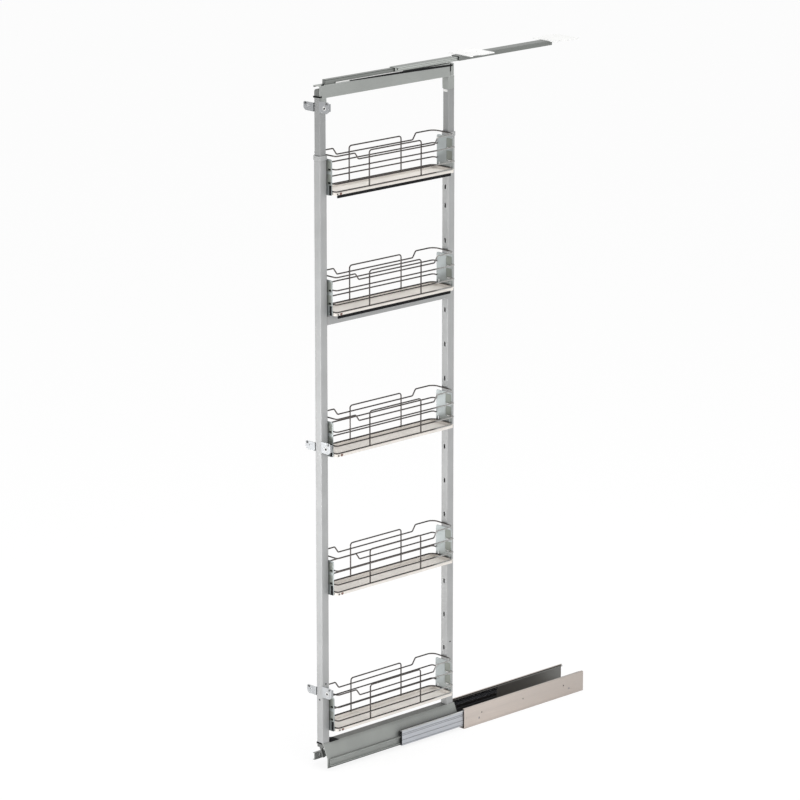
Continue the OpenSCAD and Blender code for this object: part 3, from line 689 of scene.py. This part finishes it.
class LARDER_OT_posts(bpy.types.Operator):
    """Coat the posts, tubes, collars and brace, and add their seals, plugs, peg and notch"""

    bl_idname = "larder.posts"
    bl_label = "Finish the posts"

    def execute(self, context):
        tone = context.scene.larder_finishes
        tubes = ("front_post_extension", "rear_post_extension")
        lower = [name for name in in_slot("post_silver") if name not in tubes]
        dress(lower, powder_coat("post_silver", tone.post, 0.42))
        dress(tubes, powder_coat("tube_silver", tone.extension, 0.42))
        trim = seal_rubber("post_seal", tone)
        low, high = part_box("front_post")
        strip(
            "post_foot_seal",
            (low.x - 0.4 * MM, low.y - 0.8 * MM, low.z - 3 * MM),
            (high.x - 4 * MM, low.y + 4 * MM, low.z + 1.2 * MM),
            trim,
            "pullout_frame",
        )
        for post, face, lift in POST_HOLES:
            low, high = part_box(post)
            middle = (low + high) / 2
            place, out = Vector((middle.x, low.y, low.z + lift * MM)), TO_FRONT
            if face == "side":
                place, out = Vector((high.x, middle.y, low.z + lift * MM)), TO_NEAR_SIDE
            plug = f"{post}_{face}_plug"
            button(plug, place, out, 2.5, 0.5, trim, "pullout_frame", smooth=False)
        low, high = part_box("top_beam")
        # Dark strips where the beam meets the front post's top.
        strip(
            "head_dark_line_front",
            (low.x - 0.6 * MM, low.y - 0.8 * MM, low.z + 2 * MM),
            (high.x + 0.7 * MM, low.y + 0.4 * MM, low.z + 6 * MM),
            trim,
            "upper_frame",
        )
        strip(
            "head_dark_line_side",
            (high.x - 0.2 * MM, low.y - 0.8 * MM, low.z + 2 * MM),
            (high.x + 0.7 * MM, low.y + 8 * MM, low.z + 6.5 * MM),
            trim,
            "upper_frame",
        )
        strip(
            "beam_front_peg",
            (high.x - 3 * MM, low.y + 9 * MM, high.z - 0.2 * MM),
            (high.x + 0.3 * MM, low.y + 16 * MM, high.z + 3.2 * MM),
            trim,
            "upper_frame",
        )
        pale = moulded("post_notch", tone.edge, 0.4)
        low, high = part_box("rear_post_extension")
        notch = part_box("top_beam")[0].z - 44 * MM
        strip(
            "rear_tube_notch",
            (low.x + 0.5 * MM, low.y - 0.5 * MM, notch - 1 * MM),
            (high.x - 4 * MM, low.y + 0.4 * MM, notch + 6 * MM),
            pale,
            "upper_frame",
        )
        return {"FINISHED"}


class LARDER_OT_frame(bpy.types.Operator):
    """Coat the carrier and the beam with painted shade in corners, and add the beam's painted
    shadow strip, painted highlight and rear seal, and the carrier's bumper
    """

    bl_idname = "larder.frame"
    bl_label = "Finish the carrier and beam"

    def execute(self, context):
        tone = context.scene.larder_finishes
        dress(in_slot("frame_grey"), powder_coat("frame_grey", tone.carrier, 0.4))
        # The carrier gets strong painted shade where other parts come near it.
        dress(["carrier"], powder_coat("carrier_grey", tone.carrier, 0.4, dark=2.2, reach=0.045))
        trim = seal_rubber("beam_shadow_and_seals", tone)
        pale = moulded("beam_painted_highlight", tone.edge, 0.4)
        low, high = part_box("top_beam")
        near, top = high.x, high.z

        def shadow_wedge(shape):
            """A dark strip of painted shadow on the beam's near edge, dropping and growing thicker
            towards the rear.
            """
            places = [(low.y + along * MM, top + lift * MM) for along, lift in BEAM_SEAL]
            prism(shape, places, 0, near - 1.5 * MM, near + 0.4 * MM)

        # A dark strip of painted shadow along the beam's near top edge.
        solid("beam_shadow_and_seals", shadow_wedge, trim, "upper_frame")
        # A pale strip as a painted highlight on the beam's top flange.
        strip(
            "beam_painted_highlight",
            (near - 4.0 * MM, low.y + 62 * MM, top),
            (near - 2.4 * MM, low.y + 313 * MM, top + 3.4 * MM),
            pale,
            "upper_frame",
        )
        strip(
            "beam_rear_seal",
            (near - 0.4 * MM, high.y - 15 * MM, top - 22 * MM),
            (near + 0.5 * MM, high.y - 11 * MM, top - 1 * MM),
            trim,
            "upper_frame",
        )
        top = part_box("carrier")[1].z
        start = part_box("front_post")[1].y

        def bumper(shape):
            """A block on the carrier behind the front post, with a slope towards the rear."""
            places = [(start + along * MM, top + lift * MM) for along, lift in BUMPER]
            prism(shape, places, 0, -11 * MM, 15 * MM)

        solid("carrier_bumper", bumper, trim, "pullout_frame")
        return {"FINISHED"}


class LARDER_OT_runners(bpy.types.Operator):
    """Finish the housing and every runner member, and add the members' stops"""

    bl_idname = "larder.runners"
    bl_label = "Finish the runners"

    def execute(self, context):
        tone = context.scene.larder_finishes
        front, rear = (corner.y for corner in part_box("lower_housing"))
        fade = (front + 100 * MM, rear, tinted(tone.housing, 0.8))
        # The housing's inward faces get painted shade.
        nickel = brushed_sheet("housing_nickel", tone.housing, 0.42, "Y", fade=fade, inner=0.25)
        dress(in_slot("housing_nickel"), nickel)
        low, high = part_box("lower_middle_rail_right")
        # The middle members' creases get painted shade.
        creases = [low.z + lift * MM for lift in MIDDLE_CREASES]
        # The middle members' inward faces get strong painted shade.
        zinc = brushed_sheet("middle_zinc", tone.runner, 0.36, "Y", creases=creases, inner=0.09)
        dress(("lower_middle_rail_left", "lower_middle_rail_right"), zinc)
        # Painted shade on the outer rails: near black at the front, lightening towards the rear.
        fade = (front, rear - 60 * MM, OUTER_REAR_TONE)
        race = brushed_sheet("outer_zinc", tone.outer, 0.5, "Y", metallic=0.7, fade=fade)
        dress(("lower_outer_rail_left", "lower_outer_rail_right"), race)
        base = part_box("upper_middle_rail")[0].z
        # Painted shade darkens the top middle member's grooves.
        grooves = [base + lift * MM for lift in TOP_GROOVES]
        bright = tinted(tone.top_runner, 2.2)
        ribbed = brushed_sheet("top_middle", bright, 0.4, "Y", creases=grooves)
        dress(["upper_middle_rail"], ribbed)
        # A line of painted shade along the inner rail's top edge.
        lip = [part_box("upper_inner_rail")[1].z - 1.4 * MM]
        plain = brushed_sheet("top_inner", tone.top_runner, 0.42, "Y", creases=lip)
        dress(["upper_inner_rail"], plain)
        low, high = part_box("upper_inner_rail")
        strip(
            "inner_rail_cap",
            (low.x + 0.8 * MM, low.y - 0.2 * MM, low.z + 1 * MM),
            (high.x - 0.8 * MM, low.y + 1.4 * MM, high.z - 0.8 * MM),
            plain,
            "upper_frame",
        )
        dress(["upper_cabinet_rail"], brushed_sheet("top_outer", tone.top_runner, 0.42, "Y"))

        low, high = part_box("lower_middle_rail_right")
        trim = seal_rubber("runner_stop", tone)
        pale = moulded("runner_painted_highlight", tone.edge, 0.35)
        strip(
            "middle_front_stop",
            (high.x - 3.8 * MM, low.y - 2.5 * MM, low.z + 3 * MM),
            (high.x - 0.8 * MM, low.y + 1.5 * MM, high.z - 2 * MM),
            trim,
            "lower_middle",
        )
        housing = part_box("lower_housing")
        # A pale strip as a painted highlight along the middle member's top.
        strip(
            "middle_painted_highlight",
            (high.x - 6.5 * MM, low.y + 2 * MM, high.z),
            (high.x - 1.5 * MM, housing[0].y + 180 * MM, high.z + 0.15 * MM),
            pale,
            "lower_middle",
        )
        strip(
            "housing_front_edge",
            (housing[1].x - 2.6 * MM, housing[0].y + 0.2 * MM, housing[0].z + 2 * MM),
            (housing[1].x - 1.2 * MM, housing[0].y + 3.8 * MM, housing[1].z - 2 * MM),
            trim,
            "cabinet_base",
        )
        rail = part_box("upper_middle_rail")
        place = Vector((rail[1].x - 0.9 * MM, rail[0].y + 8 * MM, rail[0].z + 6 * MM))
        button("top_stop_stud", place, TO_NEAR_SIDE, 2.4, 1.2, trim, "upper_middle")
        return {"FINISHED"}


class LARDER_OT_hardware(bpy.types.Operator):
    """Finish the door brackets, screws, rivets, balls and stops, and line the door holes"""

    bl_idname = "larder.hardware"
    bl_label = "Finish the hardware"

    def execute(self, context):
        tone = context.scene.larder_finishes
        dress(in_slot("bracket_zinc"), brushed_sheet("bracket_zinc", tone.bracket, 0.45, "Z"))
        dress(in_slot("fastener_steel"), plated("fastener_steel", tone.fastener, 0.22))
        dress(in_slot("stop_grey"), moulded("stop_grey", tone.stop, 0.5))
        dress(in_slot("ceiling_white"), powder_coat("ceiling_white", tone.ceiling, 0.45, dark=0.6))
        pale = moulded("hole_rim", tone.edge, 0.35)
        trim = moulded("hole_plug", tone.dark, 0.6, gloss=0.15)
        bodies = {"top": "upper_frame", "middle": "pullout_frame", "bottom": "pullout_frame"}
        for level, body in bodies.items():
            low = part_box(f"door_bracket_{level}_right")[0]
            centre = Vector((DOOR_HOLE_X * MM, low.y, low.z + DOOR_HOLE_Z * MM))
            self.line_hole(f"door_{level}_right", centre, pale, trim, body)
            low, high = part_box(f"door_bracket_{level}_left")
            lever = Vector((low.x + 7 * MM, low.y, high.z - 4.5 * MM))
            button(f"door_{level}_lever", lever, TO_FRONT, 3.6, 1.8, trim, body)
        return {"FINISHED"}

    def line_hole(self, name, centre, pale, trim, body):
        """A rolled rim round a door hole, with the dark nut that sits in it."""

        def rim(shape):
            loops = []
            for radius, rise in HOLE_RIM:
                loop = []
                for x, z in circle((centre.x, centre.z), radius * MM, 24):
                    loop.append(shape.verts.new((x, centre.y + rise * MM, z)))
                loops.append(loop)
            skin(shape, loops + loops[:1], capped=False)

        solid(f"{name}_rim", rim, pale, body, smooth=True)
        front = centre + Vector((0.0, -0.1 * MM, -0.6 * MM))
        button(f"{name}_nut", front, TO_FRONT, 3.5, 1.1, trim, body, smooth=False)


class LARDER_OT_baskets(bpy.types.Operator):
    """Bend the baskets' wires and finish their trays and end plates"""

    bl_idname = "larder.baskets"
    bl_label = "Build the baskets"

    def execute(self, context):
        tone = context.scene.larder_finishes
        sizes = context.scene.larder_basket
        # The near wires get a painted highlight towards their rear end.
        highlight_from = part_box("basket_1_wires")[1].y - WIRE_HIGHLIGHT_REACH * MM
        chrome = plated("wire_chrome", tone.wire, 0.2, dark_top=0.8, bright_end=highlight_from)
        dress(in_slot("tray_white"), moulded("tray_white", tone.tray, 0.5))
        dress(in_slot("plate_grey"), brushed_sheet("plate_grey", tone.plate, 0.45, "Z"))
        trim = seal_rubber("dark_trim", tone)
        buffer = moulded("buffer", tone.buffer, 0.45)
        pocket = brushed_sheet("pocket_grey", tone.pocket, 0.5, "Z", metallic=0.6)
        # The lips' pale tone is a painted highlight.
        pale = moulded("pocket_lip_highlight", tone.edge, 0.3)
        for number in BASKETS:
            self.bend_wires(number, sizes, chrome)
            self.trim_tray(number, trim, buffer)
            self.fill_plates(number, pocket, trim, pale)
        return {"FINISHED"}

    def fill_plates(self, number, plate, trim, pale):
        """The embossed panels of one basket's end plates, with painted shade for their slots and
        pale lips as painted highlights.
        """
        body = f"basket_{number}"
        low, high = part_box(f"basket_{number}_front_plate")
        # The hooks reach to the front, so the sheet is at the rear of the plate's box.
        face = high.y - PLATE_SHEET * MM
        strip(
            f"{body}_front_panel",
            (5.5 * MM, face + 0.2 * MM, low.z + 8 * MM),
            (29.5 * MM, face + 1.3 * MM, high.z - 4 * MM),
            plate,
            body,
        )
        # Dark strips as painted shade where the slots are.
        for base, top, edge in PLATE_SLOT_SHADES:
            strip(
                f"{body}_front_seat_{int(top)}",
                (edge * MM, face - 0.7 * MM, low.z + (base + 1.5) * MM),
                ((edge + 9) * MM, face + 0.4 * MM, low.z + (top + 1.5) * MM),
                trim,
                body,
            )
        low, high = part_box(f"basket_{number}_rear_plate")
        for base in POCKET_FEET:
            strip(
                f"{body}_pocket_{int(base)}",
                (6 * MM, low.y + 0.6 * MM, low.z + base * MM),
                (29 * MM, low.y + 1.4 * MM, low.z + (base + POCKET_HEIGHT) * MM),
                plate,
                body,
            )
            lip_place = Vector((17 * MM, low.y - 0.3 * MM, low.z + (base + 4.5) * MM))
            self.lip(f"{body}_lip_{int(base)}", lip_place, pale, body)

    def lip(self, name, centre, material, body):
        """A bright crescent at the foot of a pocket: a painted highlight."""

        def build(shape):
            half, count, sheet = 9.0 * MM, 10, 0.25 * MM
            stand, upper_sag, lower_sag, least = 0.9, 1.2, 5.2, 0.2
            rings = []
            for i in range(count + 1):
                share = i / count
                sag = math.sin(math.pi * share)
                along = half * (2 * share - 1)
                upper = centre + Vector((along, -stand * MM, -upper_sag * MM * sag))
                fall = (-lower_sag * sag - least) * MM
                lower = centre + Vector((upper.x - centre.x, 0.0, fall))
                back = Vector((0.0, sheet, 0.0))
                ends = (upper, lower, lower + back, upper + back)
                rings.append([shape.verts.new(end) for end in ends])
            skin(shape, rings)

        solid(name, build, material, body, smooth=True)

    def bend_wires(self, number, sizes, chrome):
        """The rails, loops and floor wire of one basket, in place of its plain wires."""
        node = f"basket_{number}_wires"
        low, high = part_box(node)
        tray_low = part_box(f"basket_{number}_tray")[0].z
        inset = sizes.wire / 2 + 0.1 * MM
        side, top = high.x - inset, high.z - inset - sizes.lower_top
        front, rear = low.y + inset, high.y - inset
        curve = wires(f"basket_{number}_chrome", sizes.wire)
        dip = top - sizes.drop
        step_front, step_rear = front + sizes.step_front, rear - sizes.step_rear

        def edge(x):
            return [
                Vector((x, front, top)),
                Vector((x, step_front, top)),
                Vector((x, step_front + sizes.lean_front, dip)),
                Vector((x, step_rear - sizes.lean_rear, dip)),
                Vector((x, step_rear, top)),
                Vector((x, rear, top)),
            ]

        corner, turn, sweep, tuck = 8 * MM, 6 * MM, 20 * MM, 12 * MM
        radii = [corner, turn, turn, turn, turn, sweep]
        wire(curve, edge(side) + edge(-side)[::-1], radii + radii[::-1])
        loop = [(side, rear), (side, front), (-side, front), (-side, rear)]
        points = [Vector((x, y, low.z + inset)) for x, y in loop]
        wire(curve, points, [sweep, corner, corner, sweep])
        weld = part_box(f"basket_{number}_rear_plate")[1].x - 2 * MM
        for height in (sizes.low_rail, sizes.middle_rail):
            ends = [(weld, rear), *loop, (-weld, rear)]
            points = [Vector((x, y, tray_low + height)) for x, y in ends]
            wire(curve, points, [0.0, tuck, corner, corner, tuck, 0.0], closed=False)
        inner = side - sizes.wire * 0.9
        foot = low.z + 0.5 * MM
        for x in (inner, -inner):
            feet = [(front + sizes.loop_front, foot), (front + sizes.loop_front, top)]
            feet += [(rear - sizes.loop_rear, top), (rear - sizes.loop_rear, foot)]
            points = [Vector((x, y, z)) for y, z in feet]
            wire(curve, points, [0.0, corner, corner, 0.0], closed=False)
        piece = placed(curve.name, curve, chrome, f"basket_{number}")
        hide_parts(node)

    def trim_tray(self, number, trim, buffer):
        """Corner buffer and foot stud of one tray, and the dark strip of the two upper ones."""
        low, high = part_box(f"basket_{number}_tray")
        body = f"basket_{number}"
        wall = high.x - 1.5 * MM
        corner = Vector((wall + 0.2 * MM, low.y + 22 * MM, low.z + 4 * MM))
        foot = Vector((wall + 0.2 * MM, low.y + 10 * MM, low.z + 3.5 * MM))
        button(f"{body}_buffer", corner, TO_NEAR_SIDE, 4.2, 1.2, buffer, body)
        button(f"{body}_stud", foot, TO_NEAR_SIDE, 2.2, 1.4, trim, body)
        if number in BASKETS[-2:]:
            strip(
                f"{body}_strip",
                (wall - 2.5 * MM, low.y + 10 * MM, low.z - 7.5 * MM),
                (wall + 0.8 * MM, high.y - 18 * MM, low.z + 0.6 * MM),
                trim,
                body,
            )


class LARDER_OT_stage(bpy.types.Operator):
    """Set the floor, the soft lights and the camera"""

    bl_idname = "larder.stage"
    bl_label = "Set the stage"

    def execute(self, context):
        scene = context.scene
        studio = scene.larder_studio
        self.lay_floor(scene)
        self.light_sky(scene, studio.fill)
        for name, place, size, power, aim in LAMPS:
            self.hang_lamp(scene, name, Vector(place), size, power, Vector(aim))
        self.aim_camera(scene, studio)
        scene.view_settings.view_transform = "Standard"
        return {"FINISHED"}

    def lay_floor(self, scene):
        """A pale floor that seems to glow where the camera sees it directly."""
        shape = bmesh.new()
        bmesh.ops.create_grid(shape, x_segments=1, y_segments=1, size=FLOOR_REACH)
        mesh = bpy.data.meshes.new("studio_floor")
        shape.to_mesh(mesh)
        shape.free()
        floor = bpy.data.objects.new("studio_floor", mesh)
        floor.location.z = cad_box[0].z - FLOOR_GAP
        scene.collection.objects.link(floor)
        pale = Finish("studio_floor", FLOOR_TONE, 0.7)
        rays = pale.add("ShaderNodeLightPath").outputs
        glow = pale.add("ShaderNodeEmission", {}, {"Color": WHITE, "Strength": FLOOR_GLOW})
        blend = pale.add(
            "ShaderNodeMixShader",
            {},
            {
                0: Tone(pale, rays["Is Camera Ray"]) * GLOW_SHARE,
                1: pale.shader.outputs[0],
                2: glow.outputs[0],
            },
        )
        pale.join(pale.tree.nodes["Material Output"].inputs["Surface"], blend.outputs[0])
        mesh.materials.append(pale.material)

    def light_sky(self, scene, fill):
        """An even light of strength fill, before a white background."""
        world = bpy.data.worlds.new("studio")
        world.use_nodes = True
        scene.world = world
        sky = Shading(world.node_tree)
        rays = sky.add("ShaderNodeLightPath").outputs
        straight, through = rays["Is Camera Ray"], rays["Is Transmission Ray"]
        direct = Tone(sky, straight).math("MAXIMUM", straight, through)
        open_sky = sky.tree.nodes["Background"]
        sky.join(open_sky.inputs["Color"], WHITE)
        sky.join(open_sky.inputs["Strength"], direct * (1.0 - fill) + fill)

    def hang_lamp(self, scene, name, place, size, power, aim):
        """A soft rectangular lamp that faces aim."""
        light = bpy.data.lights.new(name, "AREA")
        light.shape = "RECTANGLE"
        light.size, light.size_y = size
        light.energy = power
        self.point(scene, bpy.data.objects.new(name, light), place, place - aim)

    def aim_camera(self, scene, studio):
        """The camera of the photograph, from its bearing, height and place."""
        azimuth, elevation = studio.azimuth, studio.elevation
        level = math.cos(elevation)
        back = (math.sin(azimuth) * level, -math.cos(azimuth) * level, math.sin(elevation))
        view = bpy.data.cameras.new("photo_camera")
        view.sensor_width = SENSOR_WIDTH
        view.lens = studio.lens
        view.clip_end = VIEW_REACH
        camera = bpy.data.objects.new("photo_camera", view)
        place = Vector(studio.stand) + Vector((0.0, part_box("front_post")[0].y, 0.0))
        self.point(scene, camera, place, Vector(back))
        scene.camera = camera

    def point(self, scene, piece, place, back):
        """Puts a lamp or camera at a place, with its back turned along back."""
        piece.location = place
        piece.rotation_mode = "QUATERNION"
        piece.rotation_quaternion = back.to_track_quat("Z", "Y")
        scene.collection.objects.link(piece)


OPERATORS = (
    LARDER_OT_posts,
    LARDER_OT_frame,
    LARDER_OT_runners,
    LARDER_OT_hardware,
    LARDER_OT_baskets,
    LARDER_OT_stage,
)


class LARDER_PT_panel(bpy.types.Panel):
    """Lists the larder unit's colours, its studio and the operators that build it"""

    bl_idname = "LARDER_PT_panel"
    bl_label = "Larder"
    bl_space_type = "VIEW_3D"
    bl_region_type = "UI"
    bl_category = "Larder"

    def draw(self, context):
        scene = context.scene
        for group in (scene.larder_finishes, scene.larder_basket, scene.larder_studio):
            box = self.layout.box()
            for name in group.__annotations__:
                box.prop(group, name)
        for operator in OPERATORS:
            self.layout.operator(operator.bl_idname)


CLASSES = (LarderFinishes, LarderBasket, LarderStudio, *OPERATORS, LARDER_PT_panel)


def register():
    for cls in CLASSES:
        bpy.utils.register_class(cls)
    bpy.types.Scene.larder_finishes = PointerProperty(type=LarderFinishes)
    bpy.types.Scene.larder_basket = PointerProperty(type=LarderBasket)
    bpy.types.Scene.larder_studio = PointerProperty(type=LarderStudio)


def unregister():
    del bpy.types.Scene.larder_studio
    del bpy.types.Scene.larder_basket
    del bpy.types.Scene.larder_finishes
    for cls in reversed(CLASSES):
        bpy.utils.unregister_class(cls)


def main():
    register()
    for operator in OPERATORS:
        group, action = operator.bl_idname.split(".")
        getattr(getattr(bpy.ops, group), action)()


if __name__ == "__main__":
    main()
